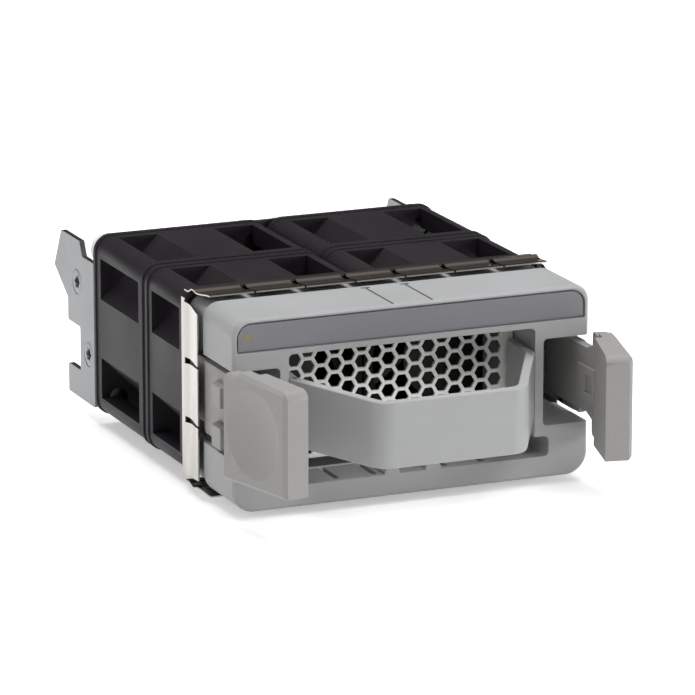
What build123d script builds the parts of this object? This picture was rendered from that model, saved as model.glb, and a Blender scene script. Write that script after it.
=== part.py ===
from build123d import *
import os
from math import cos, radians, sin, sqrt

os.makedirs("parts", exist_ok=True)

# Hot-swap fan tray for a rack switch, in millimetres.
# Depth runs to the rear from the bezel's face, height runs up from the bezel's underside.

# Fits
press_fit = 0.01
slip_fit = 0.02
pin_fit = 0.05
cut_over = 1.0

# Fans: two columns, each a counter-rotating pair that meets at a seam
fan_size = 40.0
fan_gap = 0.4
fan_bottom = 1.13
fan_corner = 3.6
front_fan_length = 24.2
rear_fan_length = 31.1
flange = 4.0
bore_radius = 18.0
pocket_inner = 6.6
post_width = 4.3
hole_spacing = 32.0
hole_radius = 2.15
seam_chamfer = 0.8

# Fan motors, along each fan's axis from the seam
base_radius = 10.0
base_plate = 1.5
strut_count = 5
strut_width = 1.5
strut_height = 2.6
strut_sink = 0.6
tube_wall = 1.0
tube_height = 12.5
bearing_radius = 3.0
bearing_length = 2.5
bearing_gap = 6.3
bearing_start = 2.2
shaft_radius = 1.0
shaft_start = 1.7
board_thickness = 0.8
board_radius = 8.6
motor_sides = 8
stator_start = 5.0
stator_length = 7.0
air_gap = 0.48
stator_poles = 4
pole_width = 4.0
pole_yoke = 1.0
magnet_start = 4.0
magnet_length = 9.0
magnet_bars = 12
magnet_wall = 1.4

# Impellers
hub_start = 3.2
hub_wall = 1.1
hub_roof = 1.2
impeller_inset = 2.0
boss_radius = 2.6
boss_gap = 1.0
tip_gap = 0.6
blade_thickness = 1.1
blade_sink = 0.6
blade_margin = 0.6
blade_start = 5.6
blade_lean = 6.5
blade_bulge = 1.8
front_blades = 5
rear_blades = 7

# Bezel
bezel_width = 80.6
bezel_height = 41.2
bezel_depth = 26.4
bezel_top_corner = 3.6
bezel_bottom_corner = 4.7
bezel_edge = 0.6
rim_depth = 16.5
rebate = 0.9
opening_half = 27.9
opening_bottom = 4.7
opening_top = 32.8
opening_corner = 1.0
slot_half = 31.2
slot_top = 9.1
slot_depth = 22.0
post_outer = 29.8
pocket_bottom = 11.3
pocket_top = 30.2
chamber_bottom = 2.9
chamber_top = 38.3
label_cavity_front = 3.0
label_cavity_half = 34.0
label_cavity_bottom = 34.6
label_cavity_top = 39.0
rib_radius = 1.75
rib_place = 4.65
groove_width = 1.2
groove_sink = 0.8
groove_places = (8.1, 16.5)
groove_front = 1.6
tab_slit = 0.5
tab_half = 4.45
tab_slit_front = 0.5
tab_slit_rear = 15.0
tab_relief = 2.0
peg_radius = 1.9
stake_radius = 0.7
stake_stand = 0.7
stake_place = 22.0

# Label and status light
label_half = 39.4
label_bottom = 34.0
label_top = 40.3
label_corner = 3.3
label_recess = 0.9
label_thickness = 0.6
label_gap = 0.4
light_x = -37.0
light_height = 37.1
light_radius = 0.95
light_length = 4.0

# Hexagonal grille
grille_depth = 10.5
grille_sheet = 0.6
grille_half = 27.6
grille_bottom = 3.1
grille_top = 34.4
cell_flat = 2.75
cell_pitch = 3.5
cell_column = 3.05
cell_centre_x = -1.05
cell_centre_height = 19.75
cell_columns_each_side = 8
cell_rows_long = 7
cell_rows_short = 6
sill_bottom = 4.9
sill_top = 7.0
sill_length = 16.0
sill_pitch = 17.2
sill_count = 3

# Pull handle
handle_thickness = 2.0
handle_reach = 21.0
handle_front_half = 16.2
handle_bend = 5.0
handle_root_bend = 4.0
handle_leg = 9.6
handle_gap = 0.05
handle_root_low = 13.4
handle_root_high = 27.7
handle_front_low = 12.3
handle_front_high = 26.3

# Side latches
pad_rear_x = 43.8
pad_rear_gap = 2.4
pad_lean = 12.6
pad_length = 22.5
pad_thickness = 5.8
pad_bottom_rear = 8.7
pad_bottom_front = 9.2
pad_top_rear = 31.4
pad_top_step = 32.3
pad_top_front = 31.5
pad_step = 5.5
pad_round_top = 2.0
pad_round = 1.4
pad_edge = 0.8
pad_wall = 3.5
wrap_start = 8.8
wrap_thickness = 5.1
dish_radius = 31.5
dish_sink = 1.4
arm_outer = 39.3
arm_thickness = 2.0
arm_bottom = 15.0
arm_top = 28.9
arm_reach = 12.5
eye_radius = 2.2
eye_room = 0.7
pin_x = 37.0
pin_depth = 21.5
pin_radius = 1.2
pin_seat = 2.0
lug_front = 3.0
lug_rear = 8.5
lug_crest = 1.5
lug_height = 4.2
lug_reach = 42.0
lug_heights = (15.6, 24.2)
frame_raise = 0.5
frame_start = 1.6
frame_end = 9.7
frame_bottom = 17.5
frame_top = 25.0
window_start = 5.3
window_end = 8.6
window_bottom = 19.4
window_top = 23.2
snap_sink = 0.6
stop_start = 5.2
stop_crest = 8.2
stop_rise = 1.2
spring_sheet = 0.35
spring_bottom = 17.5
spring_top = 24.0
spring_root = 2.0
spring_knee = 1.5
spring_tip = 7.5

# Shielding finger strips
strip_sheet = 0.3
strip_rear = 26.3
strip_fold = 24.5
strip_crest = 20.5
strip_lip = 17.0
strip_rise = 2.3
strip_slot = 0.45
strip_slot_rear = 1.6
wide_strip_half = 40.7
wide_fingers = 7
tall_strip_bottom = 1.6
tall_strip_top = 39.9
tall_fingers = 3

# Rear plate, guide brackets and their fixings; their depths run from the rear of the fans
plate_sheet = 1.0
plate_bottom = 1.6
plate_top = 40.9
exhaust_radius = 18.0
tab_sheet = 1.0
tab_rear = 14.8
tab_bottom = 10.0
tab_top = 31.0
tab_clear = 1.5
bracket_sheet = 1.2
bracket_gap = 0.05
bracket_front = 0.3
bracket_reach = 25.5
bracket_bottom = 2.1
bracket_shelf = 34.7
bracket_crown = 37.9
bracket_corner = 0.5
shelf_end = 7.5
crown_start = 9.2
crown_end = 20.9
nose_height = 29.1
nose_foot = 23.5
notch_front = 9.3
notch_rear = 17.0
notch_bottom = 8.5
notch_top = 18.4
screw_places = ((11.1, 28.3), (4.2, 13.4))
screw_radius = 1.5
screw_head = 2.9
screw_clearance = 0.1
countersink = 90
rivet_head = 3.6
rivet_dome = 3.4
rivet_chamfer = 1.4
rivet_shank = 1.9
shank_short = 0.5

# Rear power connector
connector_half = 7.0
connector_bottom = 1.9
connector_top = 7.5
connector_length = 11.5
connector_wall = 1.2
contact_count = 6
contact_pitch = 1.8
contact_width = 0.6
contact_length = 8.0
contact_root = 1.5

# Places that follow from the sizes above
fan_x = (fan_size + fan_gap) / 2
fan_height = fan_bottom + fan_size / 2
seam = bezel_depth + front_fan_length
fan_rear = bezel_depth + rear_fan_length + front_fan_length
hub_radius = base_radius
hub_inner = hub_radius - hub_wall
magnet_outer = hub_inner - slip_fit
magnet_inner = magnet_outer - magnet_wall
stator_radius = magnet_inner - air_gap
tube_radius = bearing_radius + slip_fit + tube_wall
blade_tip = bore_radius - tip_gap
boss_start = base_plate + tube_height + boss_gap
lean_sin = sin(radians(pad_lean))
lean_cos = cos(radians(pad_lean))
pad_reach = pad_rear_gap + pad_length * lean_cos
strip_top = strip_rise + strip_sheet
bracket_inner = fan_x + fan_size / 2 - bracket_sheet
plate_half = bracket_inner - bracket_gap
pocket_middle = (pocket_bottom + pocket_top) / 2
pocket_depth = pin_depth + eye_radius + eye_room
hole_offset = hole_spacing / 2
shank_reach = flange - shank_short
duct_flat = (fan_size / 2 + pocket_inner) / sqrt(2)
hands = (("left", -1), ("right", 1))

# The frame: origin under the middle of the whole tray, +Y to the rear, +Z up
face_y = (pad_reach - (fan_rear + bracket_reach)) / 2
floor_z = strip_top - rebate
front = Plane((0, face_y, floor_z), x_dir=(1, 0, 0), z_dir=(0, -1, 0))
plan = Plane((0, face_y, floor_z), x_dir=(1, 0, 0), z_dir=(0, 0, 1))
flank = Plane((0, face_y, floor_z), x_dir=(0, 1, 0), z_dir=(1, 0, 0))
rear_flank = Plane((0, face_y + fan_rear, floor_z), x_dir=(0, 1, 0), z_dir=(1, 0, 0))


def keep(piece, label):
    """Name a finished piece and write it as its own file."""
    piece.part.label = label
    export_step(piece.part, f"parts/{label}.step")


def upright_panel(sketch, width, bottom, top, top_corner, bottom_corner):
    """Upright rectangle whose top and bottom corners have their own radii."""
    with Locations((0, (bottom + top) / 2)):
        Rectangle(width, top - bottom)
    fillet(sketch.vertices().group_by(Axis.Y)[-1], top_corner)
    fillet(sketch.vertices().group_by(Axis.Y)[0], bottom_corner)


# Front bezel
with BuildPart() as bezel:
    with BuildSketch(front) as rim:
        upright_panel(
            rim, bezel_width, 0, bezel_height, bezel_top_corner, bezel_bottom_corner
        )
    extrude(amount=-rim_depth)
    chamfer(bezel.faces().sort_by(Axis.Y)[0].outer_wire().edges(), bezel_edge)
    with BuildSketch(front.offset(-rim_depth)) as seat:
        upright_panel(
            seat,
            bezel_width - 2 * rebate,
            rebate,
            bezel_height - rebate,
            bezel_top_corner - rebate,
            bezel_bottom_corner - rebate,
        )
    extrude(amount=rim_depth - bezel_depth)
    # Air opening with its wider foot, and the chamber behind the grille
    with BuildSketch(front):
        with Locations((0, (opening_bottom + opening_top) / 2)):
            RectangleRounded(2 * opening_half, opening_top - opening_bottom, opening_corner)
    extrude(amount=-grille_depth, mode=Mode.SUBTRACT)
    with BuildSketch(front):
        with Locations((0, (opening_bottom + slot_top) / 2)):
            RectangleRounded(2 * slot_half, slot_top - opening_bottom, opening_corner)
    extrude(amount=-slot_depth, mode=Mode.SUBTRACT)
    with BuildSketch(front.offset(-grille_depth)):
        with Locations((0, (chamber_bottom + chamber_top) / 2)):
            Rectangle(2 * opening_half, chamber_top - chamber_bottom)
    extrude(amount=grille_depth - bezel_depth, mode=Mode.SUBTRACT)
    # Latch pockets, open at the front and at the sides
    pocket_reach = bezel_width / 2 - post_outer + 2 * cut_over
    with BuildSketch(front):
        with GridLocations(2 * post_outer + pocket_reach, 0, 2, 1):
            with Locations((0, pocket_middle)):
                RectangleRounded(pocket_reach, pocket_top - pocket_bottom, opening_corner)
    extrude(amount=-pocket_depth, mode=Mode.SUBTRACT)
    # Cored-out space behind the label
    with BuildSketch(front.offset(-label_cavity_front)):
        with Locations((0, (label_cavity_bottom + label_cavity_top) / 2)):
            Rectangle(2 * label_cavity_half, label_cavity_top - label_cavity_bottom)
    extrude(amount=label_cavity_front - bezel_depth, mode=Mode.SUBTRACT)
    # Label recess and the hole for the status light
    with BuildSketch(front) as recess:
        upright_panel(recess, 2 * label_half, label_bottom, label_top, label_corner, label_gap)
    extrude(amount=-label_recess, mode=Mode.SUBTRACT)
    with BuildSketch(front):
        with Locations((light_x, light_height)):
            Circle(light_radius + slip_fit)
    extrude(amount=-light_length, mode=Mode.SUBTRACT)
    # Snap tab in the top wall, between two slits
    with BuildSketch(plan.offset(label_cavity_top - cut_over)):
        with Locations((0, (tab_slit_front + tab_slit_rear) / 2)):
            with GridLocations(2 * tab_half, 0, 2, 1):
                Rectangle(tab_slit, tab_slit_rear - tab_slit_front)
        with Locations((0, tab_slit_rear)):
            with GridLocations(2 * tab_half, 0, 2, 1):
                Rectangle(tab_relief, 2 * tab_slit)
    extrude(amount=bezel_height - label_cavity_top + 2 * cut_over, mode=Mode.SUBTRACT)
    # Two half-round ribs and the grooves on the floor of the opening
    with BuildSketch(front):
        with Locations((-rib_place, opening_bottom), (rib_place, opening_bottom)):
            Circle(rib_radius)
    extrude(amount=-grille_depth)
    with BuildSketch(plan.offset(opening_bottom - groove_sink)):
        for place in groove_places:
            with Locations((0, (groove_front + grille_depth) / 2)):
                with GridLocations(2 * place, 0, 2, 1):
                    Rectangle(groove_width, grille_depth - groove_front)
    extrude(amount=groove_sink, mode=Mode.SUBTRACT)
    # Holes for the latch pins
    with BuildSketch(plan.offset(pocket_bottom - pin_seat)):
        with Locations((-pin_x, pin_depth), (pin_x, pin_depth)):
            Circle(pin_radius + pin_fit)
    extrude(amount=pocket_top - pocket_bottom + 2 * pin_seat, mode=Mode.SUBTRACT)
    # Stakes that hold the grille, and pegs that enter the fans' outer corner holes
    stake_low = (chamber_bottom + opening_bottom) / 2
    stake_high = (opening_top + label_cavity_bottom) / 2
    with BuildSketch(front.offset(-grille_depth)):
        for height in (stake_low, stake_high):
            with Locations((-stake_place, height), (stake_place, height)):
                Circle(stake_radius)
    extrude(amount=-(grille_sheet + stake_stand))
    with BuildSketch(front.offset(-bezel_depth)):
        with Locations((0, fan_height)):
            with GridLocations(2 * (fan_x + hole_offset), hole_spacing, 2, 2):
                Circle(peg_radius)
    extrude(amount=-shank_reach)
keep(bezel, "front_bezel")


# Label insert, left bare
with BuildPart() as label:
    with BuildSketch(front.offset(-label_recess)) as inlay:
        upright_panel(
            inlay,
            2 * (label_half - label_gap),
            label_bottom + label_gap,
            label_top - label_gap,
            label_corner - label_gap,
            label_gap,
        )
        with Locations((light_x, light_height)):
            Circle(light_radius + slip_fit, mode=Mode.SUBTRACT)
    extrude(amount=label_thickness)
keep(label, "label_insert")

with BuildPart() as light:
    with BuildSketch(front.offset(-light_length)):
        with Locations((light_x, light_height)):
            Circle(light_radius)
    extrude(amount=light_length - label_recess + label_thickness)
keep(light, "status_light")


# Hexagonal grille
def cell_places():
    """Centres of the hexagons: columns take turns between the long and the short run."""
    places = []
    for column in range(-cell_columns_each_side, cell_columns_each_side + 1):
        rows = cell_rows_short if column % 2 else cell_rows_long
        for row in range(rows):
            height = cell_centre_height + (row - (rows - 1) / 2) * cell_pitch
            places.append((cell_centre_x + column * cell_column, height))
    return places


with BuildPart() as grille:
    with BuildSketch(front.offset(-grille_depth)):
        with Locations((0, (grille_bottom + grille_top) / 2)):
            Rectangle(2 * grille_half, grille_top - grille_bottom)
        with Locations(*cell_places()):
            RegularPolygon(cell_flat / 2, 6, major_radius=False, mode=Mode.SUBTRACT)
        with Locations((0, (sill_bottom + sill_top) / 2)):
            with GridLocations(sill_pitch, 0, sill_count, 1):
                Rectangle(sill_length, sill_top - sill_bottom, mode=Mode.SUBTRACT)
        for height in (stake_low, stake_high):
            with Locations((-stake_place, height), (stake_place, height)):
                Circle(stake_radius + pin_fit, mode=Mode.SUBTRACT)
    extrude(amount=-grille_sheet)
keep(grille, "hex_grille")


# Pull handle: a bow whose legs stand inside the air opening
handle_root = opening_half - handle_gap
handle_path = [
    (-handle_root, handle_leg),
    (-handle_root, 0),
    (-handle_front_half, -handle_reach),
    (handle_front_half, -handle_reach),
    (handle_root, 0),
    (handle_root, handle_leg),
]
handle_radii = [handle_root_bend, handle_bend, handle_bend, handle_root_bend]
handle_floor = min(handle_front_low, handle_root_low) - cut_over
handle_drop = (handle_root_high - handle_front_high) / handle_reach
handle_sag = (handle_root_low - handle_front_low) / handle_reach
with BuildPart() as handle:
    with BuildSketch(plan.offset(handle_floor)):
        with BuildLine() as bow:
            FilletPolyline(*handle_path, radius=handle_radii)
            offset(amount=handle_thickness, side=Side.LEFT)
        make_face()
    extrude(amount=handle_root_high - handle_floor + 2 * cut_over)
    with BuildSketch(flank):
        with BuildLine():
            Polyline(
                (-handle_reach - cut_over, handle_front_low - handle_sag * cut_over),
                (handle_leg + cut_over, handle_root_low + handle_sag * (handle_leg + cut_over)),
                (handle_leg + cut_over, handle_root_high + handle_drop * (handle_leg + cut_over)),
                (-handle_reach - cut_over, handle_front_high - handle_drop * cut_over),
                close=True,
            )
        make_face()
    extrude(amount=opening_half, both=True, mode=Mode.INTERSECT)
keep(handle, "pull_handle")


# Side latches
def pad_plane(hand):
    """Plane of a pad's outer face: local x runs forward, local y up."""
    return Plane(
        (hand * pad_rear_x, face_y - pad_rear_gap, floor_z),
        x_dir=(-hand * lean_sin, -lean_cos, 0),
        z_dir=(-lean_cos, hand * lean_sin, 0),
    )


def build_arm(hand):
    """Straight arm on a pin, with a raised frame round its window and two catch lugs."""
    arm_inner = arm_outer - arm_thickness
    window_middle = (window_start + window_end) / 2
    with BuildPart() as arm:
        with BuildSketch(plan.offset(arm_bottom)):
            with Locations((hand * (arm_inner + arm_outer) / 2, (pin_depth - arm_reach) / 2)):
                Rectangle(arm_thickness, pin_depth + arm_reach)
            with Locations((hand * pin_x, pin_depth)):
                Circle(eye_radius)
                Circle(pin_radius + pin_fit, mode=Mode.SUBTRACT)
        extrude(amount=arm_top - arm_bottom)
        with BuildSketch(flank.offset(hand * arm_inner)):
            with Locations((-(frame_start + frame_end) / 2, (frame_bottom + frame_top) / 2)):
                Rectangle(frame_end - frame_start, frame_top - frame_bottom)
        extrude(amount=-hand * frame_raise)
        with BuildSketch(flank.offset(hand * arm_outer)):
            with Locations((-window_middle, (window_bottom + window_top) / 2)):
                Rectangle(window_end - window_start, window_top - window_bottom)
        extrude(amount=-hand * (arm_thickness + frame_raise), mode=Mode.SUBTRACT)
        # Stops above and below that meet the pad's socket
        with BuildSketch(flank.offset(hand * arm_inner)):
            for edge, way in ((arm_top, 1), (arm_bottom, -1)):
                with BuildLine():
                    Polyline(
                        (-stop_start, edge),
                        (-stop_crest, edge + way * stop_rise),
                        (-frame_end, edge + way * stop_rise),
                        (-frame_end, edge),
                        close=True,
                    )
                make_face()
        extrude(amount=hand * arm_thickness / 2)
        for height in lug_heights:
            with BuildSketch(plan.offset(height - lug_height / 2)):
                with BuildLine():
                    Polyline(
                        (hand * (arm_outer - arm_thickness / 2), lug_front),
                        (hand * lug_reach, lug_front),
                        (hand * lug_reach, lug_front + lug_crest),
                        (hand * (arm_outer - arm_thickness / 2), lug_rear),
                        close=True,
                    )
                make_face()
            extrude(amount=lug_height)
    return arm


def build_pad(hand):
    """Thumb pad with a shallow round dish: a thin wall at the rear and a socket for the arm."""
    outer_face = pad_plane(hand)
    top_plane = Plane(outer_face.origin, x_dir=outer_face.x_dir, z_dir=(0, 0, -hand))
    arm_middle = arm_outer - arm_thickness / 2
    window_middle = (window_start + window_end) / 2
    with BuildPart() as pad:
        with BuildSketch(outer_face) as outline:
            with BuildLine():
                Polyline(
                    (0, pad_bottom_rear),
                    (pad_length, pad_bottom_front),
                    (pad_length, pad_top_front),
                    (pad_step, pad_top_step),
                    (pad_step, pad_top_rear),
                    (0, pad_top_rear),
                    close=True,
                )
            make_face()
            corners = outline.vertices()
            front_top = corners.group_by(Axis.X)[-1].sort_by(Axis.Y)[-1]
            fillet(front_top, pad_round_top)
            fillet(outline.vertices().group_by(Axis.X)[0], pad_round)
        extrude(amount=hand * pad_thickness)
        outer = pad.faces().sort_by(Axis.X)[-1 if hand > 0 else 0]
        chamfer(outer.outer_wire().edges(), pad_edge)
        # The inner side slants, and behind the socket only the outer wall is left
        with BuildSketch(top_plane):
            with BuildLine():
                Polyline(
                    (-cut_over, pad_wall),
                    (wrap_start, pad_wall),
                    (wrap_start, wrap_thickness),
                    (pad_length, pad_thickness),
                    (pad_length, pad_thickness + cut_over),
                    (-cut_over, pad_thickness + cut_over),
                    close=True,
                )
            make_face()
        extrude(amount=-hand * bezel_height, mode=Mode.SUBTRACT)
        with BuildSketch(plan.offset(arm_bottom - slip_fit)):
            with Locations((hand * arm_middle, -(arm_reach + slip_fit) / 2)):
                Rectangle(arm_thickness + 2 * slip_fit, arm_reach + slip_fit)
        extrude(amount=arm_top - arm_bottom + 2 * slip_fit, mode=Mode.SUBTRACT)
        # Snap that fills the arm's window
        with BuildSketch(flank.offset(hand * (arm_outer + snap_sink))):
            with Locations((-window_middle, (window_bottom + window_top) / 2)):
                Rectangle(
                    window_end - window_start - 2 * pin_fit,
                    window_top - window_bottom - 2 * pin_fit,
                )
        extrude(amount=-hand * (arm_thickness + snap_sink))
        dish_height = (pad_bottom_rear + pad_top_step) / 2
        dish_centre = outer_face.from_local_coords(
            (pad_length / 2, dish_height, -hand * (dish_radius - dish_sink))
        )
        with Locations(dish_centre):
            Sphere(dish_radius, mode=Mode.SUBTRACT)
    return pad


def build_pin(hand):
    """Upright pin through the arm's eye, seated above and below the latch pocket."""
    with BuildPart() as pin:
        with BuildSketch(plan.offset(pocket_bottom - pin_seat)):
            with Locations((hand * pin_x, pin_depth)):
                Circle(pin_radius)
        extrude(amount=pocket_top - pocket_bottom + 2 * pin_seat)
    return pin


def build_spring(hand):
    """Leaf spring that lies on the pocket's wall and pushes the arm outwards."""
    root = pin_depth + spring_root
    knee = pin_depth - spring_knee
    tip = pin_depth - spring_tip
    wall = post_outer + slip_fit
    reach = arm_outer - arm_thickness - spring_sheet - slip_fit
    with BuildPart() as spring:
        with BuildSketch(plan.offset(spring_bottom)):
            with BuildLine():
                Polyline(
                    (hand * wall, root),
                    (hand * wall, knee),
                    (hand * reach, tip),
                    (hand * (reach + spring_sheet), tip),
                    (hand * (wall + spring_sheet), knee + spring_sheet),
                    (hand * (wall + spring_sheet), root),
                    close=True,
                )
            make_face()
        extrude(amount=spring_top - spring_bottom)
    return spring


for name, hand in hands:
    keep(build_arm(hand), f"{name}_latch_arm")
    keep(build_pad(hand), f"{name}_latch_pad")
    keep(build_pin(hand), f"{name}_latch_pin")
    keep(build_spring(hand), f"{name}_latch_spring")


# Shielding finger strips, one on each side of the bezel
strip_run = strip_fold - strip_crest
strip_radius = (strip_run**2 + strip_rise**2) / (2 * strip_rise)
lip_drop = strip_radius - sqrt(strip_radius**2 - (strip_crest - strip_lip) ** 2)


def build_strip(corner, along, outward, length, fingers):
    """Bent sheet with a flat foot at the rear and bowed fingers; corner is where it starts."""
    with BuildPart() as strip:
        with BuildSketch(Plane(corner, x_dir=(0, 1, 0), z_dir=along)):
            with BuildLine():
                Polyline(
                    (strip_fold, 0),
                    (strip_rear, 0),
                    (strip_rear, strip_sheet),
                    (strip_fold, strip_sheet),
                )
                under = ThreePointArc(
                    (strip_fold, 0), (strip_crest, strip_rise), (strip_lip, strip_rise - lip_drop)
                )
                upper = ThreePointArc(
                    (strip_fold, strip_sheet), (strip_crest, strip_top), (strip_lip, strip_top - lip_drop)
                )
                Line(under @ 1, upper @ 1)
            make_face()
        extrude(amount=length)
        with BuildSketch(Plane(corner, x_dir=(0, 1, 0), z_dir=outward).offset(-cut_over)) as slots:
            along_y = Vector(along).dot(slots.workplanes[0].y_dir)
            for slot in range(1, fingers):
                place = along_y * length * slot / fingers
                with BuildLine():
                    Polyline(
                        (strip_fold, place - strip_slot_rear / 2),
                        (strip_fold, place + strip_slot_rear / 2),
                        (strip_lip - cut_over, place + strip_slot / 2),
                        (strip_lip - cut_over, place - strip_slot / 2),
                        close=True,
                    )
                make_face()
        extrude(amount=strip_top + 2 * cut_over, mode=Mode.SUBTRACT)
    return strip


seat_half = bezel_width / 2 - rebate
seat_low = floor_z + rebate
seat_high = floor_z + bezel_height - rebate
wide_length = 2 * wide_strip_half
tall_length = tall_strip_top - tall_strip_bottom
tall_foot = floor_z + tall_strip_bottom
tall_head = floor_z + tall_strip_top
strip_layout = {
    "top": ((-wide_strip_half, face_y, seat_high), (1, 0, 0), (0, 0, 1), wide_length, wide_fingers),
    "bottom": ((wide_strip_half, face_y, seat_low), (-1, 0, 0), (0, 0, -1), wide_length, wide_fingers),
    "left": ((-seat_half, face_y, tall_foot), (0, 0, 1), (-1, 0, 0), tall_length, tall_fingers),
    "right": ((seat_half, face_y, tall_head), (0, 0, -1), (1, 0, 0), tall_length, tall_fingers),
}
for name, layout in strip_layout.items():
    keep(build_strip(*layout), f"{name}_shield_strip")


# Fans
def fan_plane(hand, way):
    """Plane across a fan's axis at the seam; way is 1 for the rear fan, -1 for the front."""
    origin = (hand * fan_x, face_y + seam, floor_z + fan_height)
    return Plane(origin, x_dir=(1, 0, 0), z_dir=(0, way, 0))


def build_fan_frame(base, length):
    """Square frame with a round duct, corner posts and the struts of the motor base."""
    half = fan_size / 2
    with BuildPart() as frame:
        with BuildSketch(base):
            RectangleRounded(fan_size, fan_size, fan_corner)
        extrude(amount=length)
        chamfer(frame.faces().sort_by(Axis(base.origin, base.z_dir))[0].edges(), seam_chamfer)
        with BuildSketch(base):
            Circle(bore_radius)
        extrude(amount=length, mode=Mode.SUBTRACT)
        with BuildSketch(base.offset(length)):
            with GridLocations(hole_spacing, hole_spacing, 2, 2):
                Circle(hole_radius)
        extrude(amount=-flange, mode=Mode.SUBTRACT)
        pocket = half + cut_over - pocket_inner
        with BuildSketch(base.offset(flange)):
            with GridLocations(2 * pocket_inner + pocket, 2 * pocket_inner + pocket, 2, 2):
                Rectangle(pocket, pocket)
            Rectangle(2 * duct_flat, 2 * duct_flat, rotation=45, mode=Mode.SUBTRACT)
            with GridLocations(fan_size - post_width, fan_size - post_width, 2, 2):
                Rectangle(post_width, post_width, mode=Mode.SUBTRACT)
        extrude(amount=length - 2 * flange, mode=Mode.SUBTRACT)
        with BuildSketch(base):
            Circle(base_radius)
        extrude(amount=base_plate)
        strut_inner = base_radius - strut_sink
        strut_outer = (bore_radius + duct_flat) / 2
        with BuildSketch(base):
            with PolarLocations((strut_inner + strut_outer) / 2, strut_count):
                Rectangle(strut_outer - strut_inner, strut_width)
        extrude(amount=strut_height)
        with BuildSketch(base.offset(base_plate)):
            Circle(tube_radius)
            Circle(tube_radius - tube_wall, mode=Mode.SUBTRACT)
        extrude(amount=tube_height)
    return frame


def build_impeller(base, length, blades, turn):
    """Cup-shaped hub with curved blades; turn is 1 or -1 for the hand of their slant."""
    top = length - impeller_inset
    blade_end = top - blade_margin
    blade_middle = (blade_start + blade_end) / 2
    with BuildPart() as impeller:
        for blade in range(blades):
            angle = radians(360 * blade / blades)
            radial = base.x_dir * cos(angle) + base.y_dir * sin(angle)
            with BuildSketch(Plane(base.origin, x_dir=base.z_dir.cross(radial), z_dir=radial)):
                with BuildLine():
                    foot = turn * blade_lean
                    face_arc = ThreePointArc(
                        (-foot, blade_start), (turn * blade_bulge, blade_middle), (foot, blade_end)
                    )
                    back_arc = ThreePointArc(
                        (blade_thickness - foot, blade_start),
                        (blade_thickness + turn * blade_bulge, blade_middle),
                        (blade_thickness + foot, blade_end),
                    )
                    Line(face_arc @ 0, back_arc @ 0)
                    Line(face_arc @ 1, back_arc @ 1)
                make_face()
            extrude(amount=bore_radius)
        # The blades end at the tip circle and inside the hub's wall
        with BuildSketch(base):
            Circle(blade_tip)
            Circle(hub_radius - blade_sink, mode=Mode.SUBTRACT)
        extrude(amount=length, mode=Mode.INTERSECT)
        with BuildSketch(base.offset(hub_start)):
            Circle(hub_radius)
            Circle(hub_inner, mode=Mode.SUBTRACT)
        extrude(amount=top - hub_start)
        with BuildSketch(base.offset(top - hub_roof)):
            Circle(hub_radius)
        extrude(amount=hub_roof)
        with BuildSketch(base.offset(boss_start)):
            Circle(boss_radius)
            Circle(shaft_radius + press_fit, mode=Mode.SUBTRACT)
        extrude(amount=top - hub_roof - boss_start)
    return impeller


def build_ring(base, start, length, inner, outer, sides):
    """Ring of flat-sided bars or a flat-sided board about a fan's axis."""
    with BuildPart() as ring:
        with BuildSketch(base.offset(start)):
            RegularPolygon(outer, sides)
            RegularPolygon(inner, sides, major_radius=False, mode=Mode.SUBTRACT)
        extrude(amount=length)
    return ring


def build_shaft(base, length):
    """Shaft from the foot of the bearing tube into the hub's boss."""
    with BuildPart() as shaft:
        with BuildSketch(base.offset(shaft_start)):
            Circle(shaft_radius)
        extrude(amount=length - impeller_inset - hub_roof - shaft_start)
    return shaft


def build_bearings(base):
    """Two ball bearings in the tube, drawn as closed rings."""
    with BuildPart() as bearings:
        for start in (bearing_start, bearing_start + bearing_length + bearing_gap):
            with BuildSketch(base.offset(start)):
                Circle(bearing_radius)
                Circle(shaft_radius + slip_fit, mode=Mode.SUBTRACT)
            extrude(amount=bearing_length)
    return bearings


def build_stator(base):
    """Core with salient poles pressed on the bearing tube."""
    pole_reach = sqrt(stator_radius**2 - (pole_width / 2) ** 2)
    with BuildPart() as stator:
        with BuildSketch(base.offset(stator_start)):
            for pole in range(stator_poles // 2):
                Rectangle(2 * pole_reach, pole_width, rotation=360 * pole / stator_poles)
            RegularPolygon(tube_radius + pole_yoke, motor_sides, major_radius=False)
            RegularPolygon(
                tube_radius + slip_fit, motor_sides, major_radius=False, mode=Mode.SUBTRACT
            )
        extrude(amount=stator_length)
    return stator


fan_layout = (("front", -1, front_fan_length, front_blades), ("rear", 1, rear_fan_length, rear_blades))
for name, hand in hands:
    for end, way, length, blades in fan_layout:
        base = fan_plane(hand, way)
        fan = f"{name}_{end}_fan"
        keep(build_fan_frame(base, length), f"{fan}_frame")
        keep(build_impeller(base, length, blades, way), f"{fan}_impeller")
        magnet = build_ring(
            base, magnet_start, magnet_length, magnet_inner, magnet_outer, magnet_bars
        )
        keep(magnet, f"{fan}_magnet")
        keep(build_shaft(base, length), f"{fan}_shaft")
        keep(build_bearings(base), f"{fan}_bearings")
        keep(build_stator(base), f"{fan}_stator")
        board = build_ring(
            base, base_plate, board_thickness, tube_radius + slip_fit, board_radius, motor_sides
        )
        keep(board, f"{fan}_board")


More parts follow.
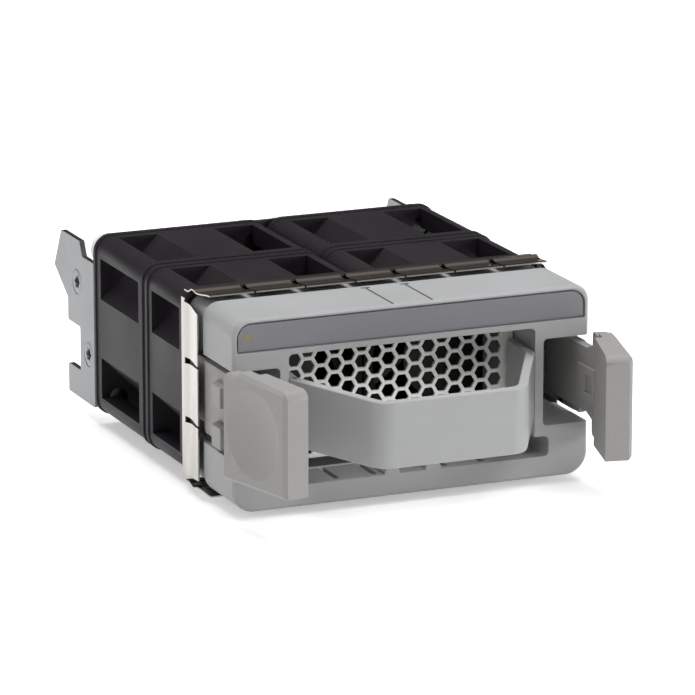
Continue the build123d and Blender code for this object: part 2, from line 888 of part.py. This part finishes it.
# Rear plate with two bent tabs
rivet_places = [
    (hand * (fan_x + step * hole_offset), fan_height + hole_offset)
    for hand in (-1, 1)
    for step in (-1, 1)
]
connector_pegs = [(hand * (fan_x - hole_offset), fan_height - hole_offset) for hand in (-1, 1)]
with BuildPart() as plate:
    with BuildSketch(front.offset(-fan_rear)) as blank:
        upright_panel(blank, 2 * plate_half, plate_bottom, plate_top, fan_corner, fan_corner)
        with Locations((-fan_x, fan_height), (fan_x, fan_height)):
            Circle(exhaust_radius, mode=Mode.SUBTRACT)
        with Locations(*rivet_places, *connector_pegs):
            Circle(rivet_shank + pin_fit, mode=Mode.SUBTRACT)
    extrude(amount=-plate_sheet)
    # Each tab is cut back round the bracket's notch
    for side in (-1, 1):
        with BuildSketch(rear_flank.offset(side * plate_half)):
            with BuildLine():
                Polyline(
                    (0, tab_bottom),
                    (notch_front - tab_clear, tab_bottom),
                    (notch_front - tab_clear, notch_top + tab_clear),
                    (tab_rear, notch_top + tab_clear),
                    (tab_rear, tab_top),
                    (0, tab_top),
                    close=True,
                )
            make_face()
        extrude(amount=-side * tab_sheet)
    with BuildSketch(rear_flank):
        with Locations(*screw_places):
            Circle(screw_radius + 2 * screw_clearance)
    extrude(amount=plate_half + cut_over, both=True, mode=Mode.SUBTRACT)
keep(plate, "rear_plate")


# Guide brackets on the tabs, each held by two countersunk screws
def build_bracket(hand):
    """Flat guide with a raised crown, a slanted nose and a notch for the chassis pin."""
    with BuildPart() as bracket:
        with BuildSketch(rear_flank.offset(hand * bracket_inner)) as outline:
            with BuildLine():
                Polyline(
                    (bracket_front, bracket_bottom),
                    (bracket_front, bracket_shelf),
                    (shelf_end, bracket_shelf),
                    (crown_start, bracket_crown),
                    (crown_end, bracket_crown),
                    (bracket_reach, nose_height),
                    (notch_rear, nose_foot),
                    (notch_rear, notch_top),
                    (notch_front, notch_top),
                    (notch_front, notch_bottom),
                    (notch_rear, notch_bottom),
                    (notch_rear, bracket_bottom),
                    close=True,
                )
            make_face()
            fillet(outline.vertices(), bracket_corner)
        extrude(amount=hand * bracket_sheet)
        face = Plane(
            (hand * (bracket_inner + bracket_sheet), face_y + fan_rear, floor_z),
            x_dir=(0, hand, 0),
            z_dir=(hand, 0, 0),
        )
        with Locations(face):
            with Locations(*[(hand * depth, height) for depth, height in screw_places]):
                CounterSinkHole(
                    screw_radius + screw_clearance, screw_head, counter_sink_angle=countersink
                )
    return bracket


def build_guide_screws(hand):
    """Two countersunk screws, flush with the bracket's outer face."""
    head = screw_head - screw_clearance
    cone = head - screw_radius
    outer = bracket_inner + bracket_sheet
    with BuildPart() as screws:
        for depth, height in screw_places:
            with BuildSketch(rear_flank.offset(hand * outer)):
                with Locations((depth, height)):
                    Circle(head)
            extrude(amount=-hand * cone, taper=countersink / 2)
            with BuildSketch(rear_flank.offset(hand * (outer - cone / 2))):
                with Locations((depth, height)):
                    Circle(screw_radius)
            extrude(amount=-hand * (bracket_sheet + tab_sheet))
    return screws


for name, hand in hands:
    keep(build_bracket(hand), f"{name}_guide_bracket")
    keep(build_guide_screws(hand), f"{name}_guide_screws")


# Snap rivets through the rear plate into the rear fans' corner holes
def build_rivet(place):
    """Domed head on the rear plate and a plain shank."""
    plate_rear = fan_rear + plate_sheet
    with BuildPart() as rivet:
        with BuildSketch(front.offset(-plate_rear)):
            with Locations(place):
                Circle(rivet_head)
        extrude(amount=-rivet_dome)
        chamfer(rivet.faces().sort_by(Axis.Y)[-1].edges(), rivet_chamfer)
        with BuildSketch(front.offset(-plate_rear)):
            with Locations(place):
                Circle(rivet_shank)
        extrude(amount=plate_sheet + shank_reach)
    return rivet


for number, place in enumerate(rivet_places, start=1):
    keep(build_rivet(place), f"fan_rivet_{number}")


# Blind-mate power connector at the foot of the rear plate
connector_front = fan_rear + plate_sheet
connector_middle = (connector_bottom + connector_top) / 2
connector_rise = connector_top - connector_bottom
with BuildPart() as connector:
    with BuildSketch(front.offset(-connector_front)):
        with Locations((0, connector_middle)):
            RectangleRounded(2 * connector_half, connector_rise, connector_wall / 2)
    extrude(amount=-connector_length)
    with BuildSketch(front.offset(-(connector_front + connector_length))):
        with Locations((0, connector_middle)):
            Rectangle(
                2 * (connector_half - connector_wall), connector_rise - 2 * connector_wall
            )
    extrude(amount=connector_length - contact_root, mode=Mode.SUBTRACT)
    with BuildSketch(front.offset(-connector_front)):
        with Locations(*connector_pegs):
            Circle(rivet_shank)
    extrude(amount=plate_sheet + shank_reach)
keep(connector, "rear_connector")

with BuildPart() as contacts:
    with BuildSketch(front.offset(-(connector_front + contact_root))):
        with Locations((0, connector_middle)):
            with GridLocations(contact_pitch, 0, contact_count, 1):
                Rectangle(contact_width, contact_width)
    extrude(amount=-contact_length)
keep(contacts, "connector_contacts")
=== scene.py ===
from math import cos, pi, radians, sin

import bmesh
import bpy
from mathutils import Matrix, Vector


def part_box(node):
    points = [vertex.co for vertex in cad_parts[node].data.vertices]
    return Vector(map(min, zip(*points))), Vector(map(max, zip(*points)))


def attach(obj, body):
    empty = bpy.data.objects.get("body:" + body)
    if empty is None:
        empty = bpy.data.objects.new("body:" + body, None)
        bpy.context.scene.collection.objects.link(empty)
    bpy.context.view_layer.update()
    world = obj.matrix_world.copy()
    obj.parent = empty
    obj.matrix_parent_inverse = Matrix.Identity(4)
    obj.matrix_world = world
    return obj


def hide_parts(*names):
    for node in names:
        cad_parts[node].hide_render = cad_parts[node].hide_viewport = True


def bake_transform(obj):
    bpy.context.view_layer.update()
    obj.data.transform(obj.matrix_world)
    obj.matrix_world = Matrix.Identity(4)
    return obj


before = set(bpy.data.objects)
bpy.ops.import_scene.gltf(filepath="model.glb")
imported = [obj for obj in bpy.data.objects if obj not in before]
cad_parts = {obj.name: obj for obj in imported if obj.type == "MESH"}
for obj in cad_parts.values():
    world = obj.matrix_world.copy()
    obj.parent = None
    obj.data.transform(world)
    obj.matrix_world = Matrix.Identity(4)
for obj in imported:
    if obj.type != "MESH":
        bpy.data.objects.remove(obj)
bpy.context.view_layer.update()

# Lengths are in metres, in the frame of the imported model.
mm = 0.001

# Camera, from the straight edges of the bezel and the fans
camera_place = Vector((-0.4148, -0.9809, 0.3018))
camera_aim = Vector((0.37895, 0.89014, -0.25309))
camera_lens = 265.4
camera_sensor = 36.0
camera_near = 0.01

# Colours, linear
bezel_grey = (0.355, 0.360, 0.365)
latch_grey = (0.288, 0.282, 0.276)
label_grey = (0.195, 0.190, 0.212)
fan_black = (0.0205, 0.0178, 0.0215)
rotor_black = (0.011, 0.011, 0.012)
stainless = (0.45, 0.43, 0.405)
plated = (0.92, 0.90, 0.86)
zinc = (0.245, 0.252, 0.26)
light_amber = (0.20, 0.165, 0.075)
nylon_white = (0.70, 0.69, 0.64)
ferrite = (0.06, 0.06, 0.065)
lacquer = (0.30, 0.16, 0.07)
board_green = (0.02, 0.13, 0.055)
ground_steel = (0.62, 0.62, 0.63)
contact_gold = (0.85, 0.62, 0.24)
white = (1, 1, 1, 1)

# Part of a noise's values that is spread over a range
noise_low = 0.3
noise_high = 0.7

# Sizes of the slow drifts and fine marks in the finishes
plastic_drift = 18 * mm
sheet_lines = 0.35 * mm
sheet_cloud = 9 * mm
nylon_drift = 6 * mm
nylon_grain = 0.4 * mm
# Painted shade on the rivet shanks inside the fans: length of its ramp along Y and how dark it gets
painted_shade_ramp = 1 * mm
painted_shade_dark = 0.02
lens_cloud = 0.7 * mm

# Edges
weld_gap = 0.001 * mm
edge_segments = 3
edge_angle = radians(28)
smooth_angle = radians(32)
rivet_rounding = 0.3 * mm
cheek_rounding = 0.2 * mm


def shade(colour, factor):
    """Colour made lighter or darker."""
    return tuple(min(1.0, part * factor) for part in colour)


class Finish:
    """A material and the few nodes that the finishes share."""

    def __init__(self, name):
        self.material = bpy.data.materials.new(name)
        self.material.use_nodes = True
        self.tree = self.material.node_tree
        self.tree.nodes.clear()
        self.shader = self.add("ShaderNodeBsdfPrincipled")
        output = self.add("ShaderNodeOutputMaterial")
        self.join(self.shader.outputs["BSDF"], output.inputs["Surface"])
        self.place = self.add("ShaderNodeTexCoord").outputs["Object"]

    def add(self, kind, **settings):
        node = self.tree.nodes.new(kind)
        for key, value in settings.items():
            setattr(node, key, value)
        return node

    def join(self, source, target):
        self.tree.links.new(source, target)

    def fix(self, socket, value):
        """Constant on one of the shader's own sockets."""
        self.shader.inputs[socket].default_value = value

    def noise(self, size, detail=2.0, stretch=(1, 1, 1)):
        """Noise whose grains measure about size; stretch lengthens them along each axis."""
        scale = self.add("ShaderNodeVectorMath", operation="MULTIPLY")
        scale.inputs[1].default_value = [1 / (size * part) for part in stretch]
        self.join(self.place, scale.inputs[0])
        node = self.add("ShaderNodeTexNoise")
        node.inputs["Scale"].default_value = 1.0
        node.inputs["Detail"].default_value = detail
        self.join(scale.outputs[0], node.inputs["Vector"])
        return node.outputs["Fac"]

    def span(self, source, low, high):
        """Noise spread over a range of values."""
        node = self.add("ShaderNodeMapRange")
        node.inputs["From Min"].default_value = noise_low
        node.inputs["From Max"].default_value = noise_high
        node.inputs["To Min"].default_value = low
        node.inputs["To Max"].default_value = high
        self.join(source, node.inputs["Value"])
        return node.outputs["Result"]

    def both(self, first, second):
        """Mean of two noises."""
        node = self.add("ShaderNodeMix", data_type="FLOAT")
        node.inputs[0].default_value = 0.5
        self.join(first, node.inputs[2])
        self.join(second, node.inputs[3])
        return node.outputs[0]

    def larger(self, first, second):
        """Larger of two values."""
        node = self.add("ShaderNodeMath", operation="MAXIMUM")
        self.join(first, node.inputs[0])
        self.join(second, node.inputs[1])
        return node.outputs[0]

    def mix(self, share, dark, light):
        """Base colour between two tones."""
        node = self.add("ShaderNodeMix", data_type="RGBA")
        node.inputs[6].default_value = (*dark, 1)
        node.inputs[7].default_value = (*light, 1)
        self.join(share, node.inputs[0])
        self.join(node.outputs[2], self.shader.inputs["Base Color"])

    def colour(self, source, dark, light):
        """Base colour that wanders between two tones with a noise."""
        self.mix(self.span(source, 0.0, 1.0), dark, light)

    def roughness(self, source, low, high):
        self.join(self.span(source, low, high), self.shader.inputs["Roughness"])

    def bump(self, source, depth, strength):
        node = self.add("ShaderNodeBump")
        node.inputs["Distance"].default_value = depth
        node.inputs["Strength"].default_value = strength
        self.join(source, node.inputs["Height"])
        self.join(node.outputs["Normal"], self.shader.inputs["Normal"])


def moulded(name, colour, grain=0.3 * mm, depth=0.02 * mm, rough=(0.46, 0.56), contrast=0.05, sheen=0.5):
    """Moulded plastic: a fine spark-eroded grain, with a slow drift of tone."""
    finish = Finish(name)
    drift = finish.noise(plastic_drift, 3)
    speck = finish.noise(grain, 3)
    tone = finish.both(drift, speck)
    finish.colour(tone, shade(colour, 1 - contrast), shade(colour, 1 + contrast))
    finish.roughness(drift, *rough)
    finish.fix("Specular IOR Level", sheen)
    finish.bump(speck, depth, 0.5)
    return finish.material


def sheet_metal(
    name, colour, rough=(0.16, 0.26), streak=(1, 1, 1), contrast=0.06, waves=0.01 * mm, metallic=1.0
):
    """Rolled sheet: faint streaks along the rolling direction and a slight waviness."""
    finish = Finish(name)
    finish.fix("Metallic", metallic)
    lines = finish.noise(sheet_lines, 2, streak)
    cloud = finish.noise(sheet_cloud, 3)
    finish.colour(finish.both(lines, cloud), shade(colour, 1 - contrast), shade(colour, 1 + contrast))
    finish.roughness(lines, *rough)
    finish.bump(cloud, waves, 0.6)
    return finish.material


def nylon_with_painted_shade(name, colour, depth):
    """Rivet plastic with painted shade: it turns dark ahead of a depth along Y, where the shank lies in
    shadow inside the fan.
    """
    finish = Finish(name)
    finish.roughness(finish.noise(nylon_drift, 3), 0.42, 0.5)
    parts = finish.add("ShaderNodeSeparateXYZ")
    finish.join(finish.place, parts.inputs["Vector"])
    # Painted shade: the colour ramps down to near black ahead of the depth
    painted_shade = finish.add("ShaderNodeMapRange")
    painted_shade.inputs["From Min"].default_value = depth - painted_shade_ramp
    painted_shade.inputs["From Max"].default_value = depth
    finish.join(parts.outputs["Y"], painted_shade.inputs["Value"])
    finish.mix(painted_shade.outputs["Result"], shade(colour, painted_shade_dark), colour)
    finish.bump(finish.noise(nylon_grain, 3), 0.015 * mm, 0.5)
    return finish.material


def lens(name, colour):
    """Unlit light: a tinted lens with a clear skin."""
    finish = Finish(name)
    finish.fix("Coat Weight", 0.4)
    finish.fix("Coat Roughness", 0.15)
    cloud = finish.noise(lens_cloud, 2)
    finish.colour(cloud, shade(colour, 0.85), shade(colour, 1.15))
    finish.roughness(cloud, 0.3, 0.4)
    return finish.material


plate_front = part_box("rear_plate")[0][1]
finishes = {
    "bezel": moulded("bezel_plastic", bezel_grey),
    "latch": moulded("latch_plastic", latch_grey),
    "label": moulded(
        "label_film", label_grey, grain=0.22 * mm, depth=0.012 * mm, rough=(0.42, 0.5), contrast=0.07
    ),
    "fan": moulded(
        "fan_plastic",
        fan_black,
        grain=0.45 * mm,
        depth=0.11 * mm,
        rough=(0.42, 0.54),
        contrast=0.35,
        sheen=0.2,
    ),
    "rotor": moulded("rotor_plastic", rotor_black, grain=0.5 * mm, rough=(0.35, 0.45), contrast=0.1),
    "connector": moulded("connector_plastic", rotor_black, rough=(0.4, 0.5), contrast=0.1),
    # Rivets with painted shade on the shanks ahead of the rear plate's front
    "rivet": nylon_with_painted_shade("rivet_plastic", nylon_white, plate_front),
    "board": moulded("circuit_board", board_green, grain=0.6 * mm, rough=(0.35, 0.5), contrast=0.25),
    "magnet": moulded("magnet_ferrite", ferrite, grain=0.25 * mm, rough=(0.5, 0.6), contrast=0.15),
    "stator": moulded(
        "stator_lacquer", lacquer, grain=0.35 * mm, depth=0.03 * mm, rough=(0.3, 0.45), contrast=0.2
    ),
    "lens": lens("light_lens", light_amber),
    "stainless": sheet_metal(
        "stainless_sheet", stainless, rough=(0.12, 0.20), streak=(12, 1, 12), contrast=0.04, waves=0.006 * mm
    ),
    "grille": sheet_metal(
        "grille_sheet", plated, rough=(0.30, 0.40), contrast=0.02, waves=0.004 * mm, metallic=0.3
    ),
    "zinc": sheet_metal("zinc_sheet", zinc, rough=(0.32, 0.46), contrast=0.1, waves=0.02 * mm),
    "steel": sheet_metal("ground_steel", ground_steel, rough=(0.2, 0.3)),
    "gold": sheet_metal("contact_gold", contact_gold, rough=(0.2, 0.3)),
}

# Finish of each node by the end of its name, with the rounding of its edges
node_finishes = (
    ("front_bezel", "bezel", 0.25 * mm),
    ("pull_handle", "bezel", 0.35 * mm),
    ("label_insert", "label", 0.08 * mm),
    ("status_light", "lens", 0.15 * mm),
    ("latch_arm", "latch", 0.2 * mm),
    ("latch_pad", "latch", 0.35 * mm),
    ("shield_strip", "stainless", 0.05 * mm),
    ("hex_grille", "grille", 0.06 * mm),
    ("latch_spring", "stainless", 0.0),
    ("fan_frame", "fan", 0.3 * mm),
    ("impeller", "rotor", 0.15 * mm),
    ("magnet", "magnet", 0.0),
    ("shaft", "steel", 0.0),
    ("bearings", "steel", 0.0),
    ("stator", "stator", 0.0),
    ("board", "board", 0.0),
    ("latch_pin", "steel", 0.0),
    ("rear_plate", "zinc", 0.12 * mm),
    ("guide_bracket", "zinc", 0.15 * mm),
    ("guide_screws", "zinc", 0.08 * mm),
    ("rear_connector", "connector", 0.15 * mm),
    ("connector_contacts", "gold", 0.05 * mm),
)


def finish_of(name):
    """Finish and edge rounding of a node."""
    if name.startswith("fan_rivet"):
        return "rivet", rivet_rounding
    for ending, finish, rounding in node_finishes:
        if name.endswith(ending):
            return finish, rounding
    raise ValueError(name)


def soften(node, width):
    """Round a node's sharp edges without touching its own mesh."""
    weld = node.modifiers.new("weld", "WELD")
    weld.merge_threshold = weld_gap
    bevel = node.modifiers.new("edge", "BEVEL")
    bevel.width = width
    bevel.segments = edge_segments
    bevel.limit_method = "ANGLE"
    bevel.angle_limit = edge_angle
    bevel.use_clamp_overlap = True
    bevel.harden_normals = True


for name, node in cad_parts.items():
    finish, rounding = finish_of(name)
    node.data.materials.clear()
    node.data.materials.append(finishes[finish])
    if rounding:
        soften(node, rounding)


def add_piece(name, points, faces, finish, smooth=True):
    """Mesh object made of points in metres."""
    mesh = bpy.data.meshes.new(name)
    mesh.from_pydata([tuple(point) for point in points], [], faces)
    mesh.validate()
    made = bmesh.new()
    made.from_mesh(mesh)
    bmesh.ops.recalc_face_normals(made, faces=made.faces)
    made.to_mesh(mesh)
    made.free()
    if smooth:
        mesh.shade_smooth()
        mesh.set_sharp_from_angle(angle=smooth_angle)
    mesh.materials.append(finishes[finish])
    piece = bpy.data.objects.new(name, mesh)
    bpy.context.scene.collection.objects.link(piece)
    return piece


def join_rings(faces, first, second, count):
    """Faces between two closed rings of points, from the number of each ring's first point."""
    for one in range(count):
        two = (one + 1) % count
        faces.append((first + one, first + two, second + two, second + one))


def add_stack(points, faces, rings):
    """Append a solid whose rings of points follow one another, closed at both ends."""
    base, count = len(points), len(rings[0])
    for ring in rings:
        points.extend(ring)
    last = len(points) - count
    for first in range(base, last, count):
        join_rings(faces, first, first + count, count)
    faces.append(tuple(range(base, base + count)))
    faces.append(tuple(range(last, last + count)))


# Guide screws with a six-lobed recess: radius, lobe and depth under the face, from the recess outwards
screw_sides = 60
screw_head = 2.8 * mm
screw_shank = 1.5 * mm
recess_radius = 1.35 * mm
recess_lobe = 0.2 * mm
recess_lobes = 6
screw_rings = (
    (recess_radius - 0.12 * mm, recess_lobe, 1.1 * mm),
    (recess_radius, recess_lobe, 0.12 * mm),
    (recess_radius + 0.08 * mm, recess_lobe, 0.03 * mm),
    (screw_head - 0.25 * mm, 0.0, 0.0),
    (screw_head, 0.0, 0.1 * mm),
    (screw_shank, 0.0, screw_head - screw_shank),
    (screw_shank, 0.0, 2.7 * mm),
)


def build_screws(node_name, hand):
    """Both screws of a guide, in the place of the plain ones."""
    low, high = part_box(node_name)
    face = high[0] if hand > 0 else low[0]
    lower = (low[1] + screw_head, low[2] + screw_head)
    upper = (high[1] - screw_head, high[2] - screw_head)
    turns = [2 * pi * side / screw_sides for side in range(screw_sides)]
    points, faces = [], []
    for along, height in (lower, upper):
        rings = []
        for radius, lobe, depth in screw_rings:
            ring = []
            for turn in turns:
                reach = radius + lobe * cos(recess_lobes * turn)
                ring.append((face - hand * depth, along + reach * cos(turn), height + reach * sin(turn)))
            rings.append(ring)
        add_stack(points, faces, rings)
    piece = add_piece(node_name + ".recessed", points, faces, "zinc")
    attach(piece, "tray")
    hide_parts(node_name)


build_screws("left_guide_screws", -1)
build_screws("right_guide_screws", 1)


# Leaf springs from each latch pocket's wall to its arm, with a rounded knee
spring_sheet = 0.35 * mm
spring_steps = 28
spring_knee = 3.5 * mm
spring_bend = 1.6 * mm
bend_steps = 8


def spring_path(root, knee, tip):
    """Line of a leaf in plan, with a rounded knee."""
    into = knee + (root - knee) * (spring_bend / (root - knee).length)
    out = knee + (tip - knee) * (spring_bend / (tip - knee).length)
    path = [root, into]
    for step in range(1, bend_steps):
        part = step / bend_steps
        path.append(into.lerp(knee, part).lerp(knee.lerp(out, part), part))
    for step in range(spring_steps):
        path.append(out.lerp(tip, step / (spring_steps - 1)))
    return path


def build_spring(hand_name, hand):
    """Leaf from the pocket's wall to the arm, in the place of the plain one."""
    node_name = hand_name + "_latch_spring"
    low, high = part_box(node_name)
    wall = low[0] if hand > 0 else high[0]
    arm = high[0] if hand > 0 else low[0]
    root = Vector((wall, high[1]))
    knee = Vector((wall, high[1] - spring_knee))
    tip = Vector((arm - hand * spring_sheet, low[1]))
    path = spring_path(root, knee, tip)
    rings = []
    for number, place in enumerate(path):
        ahead = path[min(number + 1, len(path) - 1)] - path[max(number - 1, 0)]
        across = Vector((-ahead.y, ahead.x)).normalized() * spring_sheet
        if across.x * hand < 0:
            across = -across
        other = place + across
        rings.append([(*place, low[2]), (*place, high[2]), (*other, high[2]), (*other, low[2])])
    points, faces = [], []
    add_stack(points, faces, rings)
    piece = add_piece(hand_name + "_leaf_spring", points, faces, "stainless")
    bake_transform(piece)
    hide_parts(node_name)


build_spring("left", -1)
build_spring("right", 1)

# Depths run to the rear from the bezel's face, heights up from its underside
bezel_low, bezel_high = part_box("front_bezel")


# Shielding strips with waved fingers, in the place of the bowed ones; bends hold depth and rise
strip_sheet = 0.3 * mm
strip_rear = 28.3 * mm
strip_slot_rear = 1.6 * mm
strip_slot_front = 0.45 * mm
strip_mitre = 1.2 * mm
strip_seat = 0.08 * mm
strip_ends = (1.6 * mm, 39.9 * mm)
wide_strip_half = 39.8 * mm
wide_fingers = 7
tall_fingers = 3
finger_steps = 6
finger_bends = ((26.5 * mm, 0.0), (24.6 * mm, 0.75 * mm), (22.6 * mm, 0.35 * mm), (17.0 * mm, 0.9 * mm))


def finger_wave():
    """Depths and rises along a finger, eased from bend to bend."""
    places = []
    for (start, low), (end, high) in zip(finger_bends, finger_bends[1:]):
        for step in range(finger_steps):
            part = step / finger_steps
            ease = (1 - cos(pi * part)) / 2
            places.append((start + (end - start) * part, low + (high - low) * ease))
    return places + [finger_bends[-1]]


def build_strip(side, place, length, fingers):
    """Foot and fingers of one strip; place turns along, depth and rise into a point."""
    fold, lip = finger_bends[0][0], finger_bends[-1][0]

    def row(left, right, depth, rise):
        corners = ((left, rise), (right, rise), (right, rise + strip_sheet), (left, rise + strip_sheet))
        return [place(along, depth, level) for along, level in corners]

    points, faces = [], []
    add_stack(points, faces, [row(0, length, strip_rear, 0), row(0, length, fold, 0)])
    for finger in range(fingers):
        rows = []
        for depth, rise in finger_wave():
            part = (fold - depth) / (fold - lip)
            gap = (strip_slot_rear * (1 - part) + strip_slot_front * part) / 2
            left = length * finger / fingers + (gap if finger else strip_mitre * part)
            last = finger == fingers - 1
            right = length * (finger + 1) / fingers - (strip_mitre * part if last else gap)
            rows.append(row(left, right, depth, rise))
        add_stack(points, faces, rows)
    piece = add_piece(side + "_waved_strip", points, faces, "stainless")
    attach(piece, "tray")
    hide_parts(side + "_shield_strip")


def level_place(height, up):
    """Places on the top or the bottom strip, which run along X."""
    return lambda along, depth, rise: (along - wide_strip_half, bezel_low[1] + depth, height + up * rise)


def upright_place(across, out):
    """Places on a side strip, which runs upwards."""
    foot = bezel_low[2] + strip_ends[0]
    return lambda along, depth, rise: (across + out * rise, bezel_low[1] + depth, foot + along)


wide_length = 2 * wide_strip_half
tall_length = strip_ends[1] - strip_ends[0]
build_strip("top", level_place(bezel_high[2] - strip_seat, 1), wide_length, wide_fingers)
build_strip("bottom", level_place(bezel_low[2] + strip_seat, -1), wide_length, wide_fingers)
build_strip("left", upright_place(bezel_low[0] + strip_seat, -1), tall_length, tall_fingers)
build_strip("right", upright_place(bezel_high[0] - strip_seat, 1), tall_length, tall_fingers)


# Proud rims at the ends of the fans: millimetres along the rim's width and out of the frame's face
rim_profile = ((0.0, -0.25), (0.0, 0.16), (0.18, 0.34), (1.12, 0.34), (1.3, 0.16), (1.3, -0.25))
rim_corner = 3.6 * mm
rim_corner_steps = 8
rim_inner_share = 0.45
seam_chamfer = 0.8 * mm
rear_edge = 0.3 * mm


def rim_outline(low, high, inward):
    """Points round a fan with their way out, which is shorter beside the other column."""
    outline = []
    for quarter, (right, up) in enumerate(((1, 1), (-1, 1), (-1, -1), (1, -1))):
        across = high[0] - rim_corner if right > 0 else low[0] + rim_corner
        height = high[2] - rim_corner if up > 0 else low[2] + rim_corner
        for step in range(rim_corner_steps + 1):
            angle = (quarter + step / rim_corner_steps) * pi / 2
            out = (cos(angle), sin(angle))
            reach = 1 - (1 - rim_inner_share) * max(0.0, out[0] * inward)
            outline.append((across + rim_corner * out[0], height + rim_corner * out[1], out, reach))
    return outline


def build_rims(fan, inward, at_rear):
    """Rim beside the seam, and one at the rear end of a rear fan."""
    low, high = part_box(fan + "_frame")
    rims = [(high[1] - seam_chamfer, -1)]
    if at_rear:
        rims = [(low[1] + seam_chamfer, 1), (high[1] - rear_edge, -1)]
    outline = rim_outline(low, high, inward)
    count = len(rim_profile)
    points, faces = [], []
    for depth, way in rims:
        base = len(points)
        for across, height, out, reach in outline:
            for along, step in rim_profile:
                rise = step * reach * mm
                points.append((across + rise * out[0], depth + way * along * mm, height + rise * out[1]))
        for place in range(len(outline)):
            after = (place + 1) % len(outline)
            join_rings(faces, base + place * count, base + after * count, count)
    piece = add_piece(fan + "_rims", points, faces, "fan")
    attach(piece, "tray")


for hand_name, inward in (("left", 1), ("right", -1)):
    build_rims(hand_name + "_front_fan", inward, False)
    build_rims(hand_name + "_rear_fan", inward, True)


# Outer cheek of each latch arm with its two catch lugs, over the plainer arm, in millimetres
cheek_outline = ((38.4, 0.5), (39.9, 0.5), (39.9, 16.5), (39.4, 18.5), (38.4, 18.5))
cheek_heights = (13.2, 28.85)
lug_outline = ((38.4, 2.95), (42.05, 2.95), (42.05, 7.7), (39.0, 10.5), (38.4, 10.5))
lug_spans = ((13.1, 17.75), (21.95, 26.4))


def build_cheek(hand_name, hand):
    """Cheek plate and lugs, drawn out upwards from their outlines in plan."""

    def ring(outline, height):
        level = bezel_low[2] + height * mm
        return [(hand * out * mm, bezel_low[1] + depth * mm, level) for out, depth in outline]

    points, faces = [], []
    shapes = [(cheek_outline, cheek_heights)] + [(lug_outline, span) for span in lug_spans]
    for outline, span in shapes:
        add_stack(points, faces, [ring(outline, height) for height in span])
    piece = add_piece(hand_name + "_latch_cheek", points, faces, "latch", False)
    soften(piece, cheek_rounding)
    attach(piece, hand_name + "_latch")


build_cheek("left", -1)
build_cheek("right", 1)


# Stage: a pale floor that the camera and the bare metal see as white
floor_size = 6.0
floor_cloud = 0.2
floor_tones = ((0.86, 0.86, 0.86), (0.88, 0.88, 0.88))
floor_sheen = 0.1
floor_rough = 0.9
floor_glow = 0.4
floor_mesh = bpy.data.meshes.new("floor")
made = bmesh.new()
bmesh.ops.create_grid(made, x_segments=2, y_segments=2, size=floor_size / 2)
made.to_mesh(floor_mesh)
made.free()
floor = bpy.data.objects.new("floor", floor_mesh)
bpy.context.scene.collection.objects.link(floor)
floor_finish = Finish("floor_paper")
floor_finish.fix("Specular IOR Level", floor_sheen)
floor_finish.colour(floor_finish.noise(floor_cloud, 2), *floor_tones)
floor_finish.fix("Roughness", floor_rough)
rays = floor_finish.add("ShaderNodeLightPath").outputs
seen = floor_finish.larger(rays["Is Camera Ray"], rays["Is Transmission Ray"])
glow = floor_finish.add("ShaderNodeMath", operation="MULTIPLY")
glow.inputs[1].default_value = floor_glow
floor_finish.join(floor_finish.larger(seen, rays["Is Glossy Ray"]), glow.inputs[0])
floor_finish.fix("Emission Color", white)
floor_finish.join(glow.outputs[0], floor_finish.shader.inputs["Emission Strength"])
floor_mesh.materials.append(floor_finish.material)

# A dim warm room that brightens overhead, which the bare metal mirrors: height and colour
sky_low = (0.15, (0.075, 0.064, 0.055, 1))
sky_middle = (0.55, (0.20, 0.19, 0.18, 1))
sky_high = (0.95, (0.60, 0.60, 0.61, 1))
sky_strength = 0.8
world = bpy.data.worlds.new("studio")
bpy.context.scene.world = world
world.use_nodes = True
sky = world.node_tree
sky_place = sky.nodes.new("ShaderNodeTexCoord")
sky_parts = sky.nodes.new("ShaderNodeSeparateXYZ")
sky.links.new(sky_place.outputs["Generated"], sky_parts.inputs["Vector"])
sky_ramp = sky.nodes.new("ShaderNodeValToRGB")
sky.links.new(sky_parts.outputs["Z"], sky_ramp.inputs["Fac"])
sky_stops = sky_ramp.color_ramp.elements
sky_stops[0].position, sky_stops[0].color = sky_low
sky_stops[1].position, sky_stops[1].color = sky_high
sky_stops.new(sky_middle[0]).color = sky_middle[1]
sky.links.new(sky_ramp.outputs["Color"], sky.nodes["Background"].inputs["Color"])
sky.nodes["Background"].inputs["Strength"].default_value = sky_strength

# Lamps that face the tray: place, width, height, power and whether shiny faces mirror them
lamp_target = Vector((0.0, 0.0, 0.02))
lamps = {
    "key_light": ((1.10, -0.75, 0.30), 0.5, 0.4, 7.0, True),
    "front_light": ((0.20, -0.85, 1.05), 0.6, 0.6, 5.4, False),
    "top_light": ((0.0, 0.15, 1.2), 0.9, 0.7, 13.0, False),
    "fill_light": ((-1.0, 0.12, 0.5), 0.7, 0.7, 2.4, False),
}
for name, (place, width, height, power, mirrored) in lamps.items():
    lamp = bpy.data.lights.new(name, "AREA")
    lamp.shape = "RECTANGLE"
    lamp.size = width
    lamp.size_y = height
    lamp.energy = power
    holder = bpy.data.objects.new(name, lamp)
    bpy.context.scene.collection.objects.link(holder)
    holder.visible_glossy = mirrored
    holder.location = place
    holder.rotation_euler = (lamp_target - Vector(place)).to_track_quat("-Z", "Y").to_euler()

camera_data = bpy.data.cameras.new("camera")
camera_data.sensor_width = camera_sensor
camera_data.lens = camera_lens
camera_data.clip_start = camera_near
camera = bpy.data.objects.new("camera", camera_data)
bpy.context.scene.collection.objects.link(camera)
camera.location = camera_place
camera.rotation_euler = camera_aim.to_track_quat("-Z", "Y").to_euler()
bpy.context.scene.camera = camera
bpy.context.scene.view_settings.view_transform = "Standard"
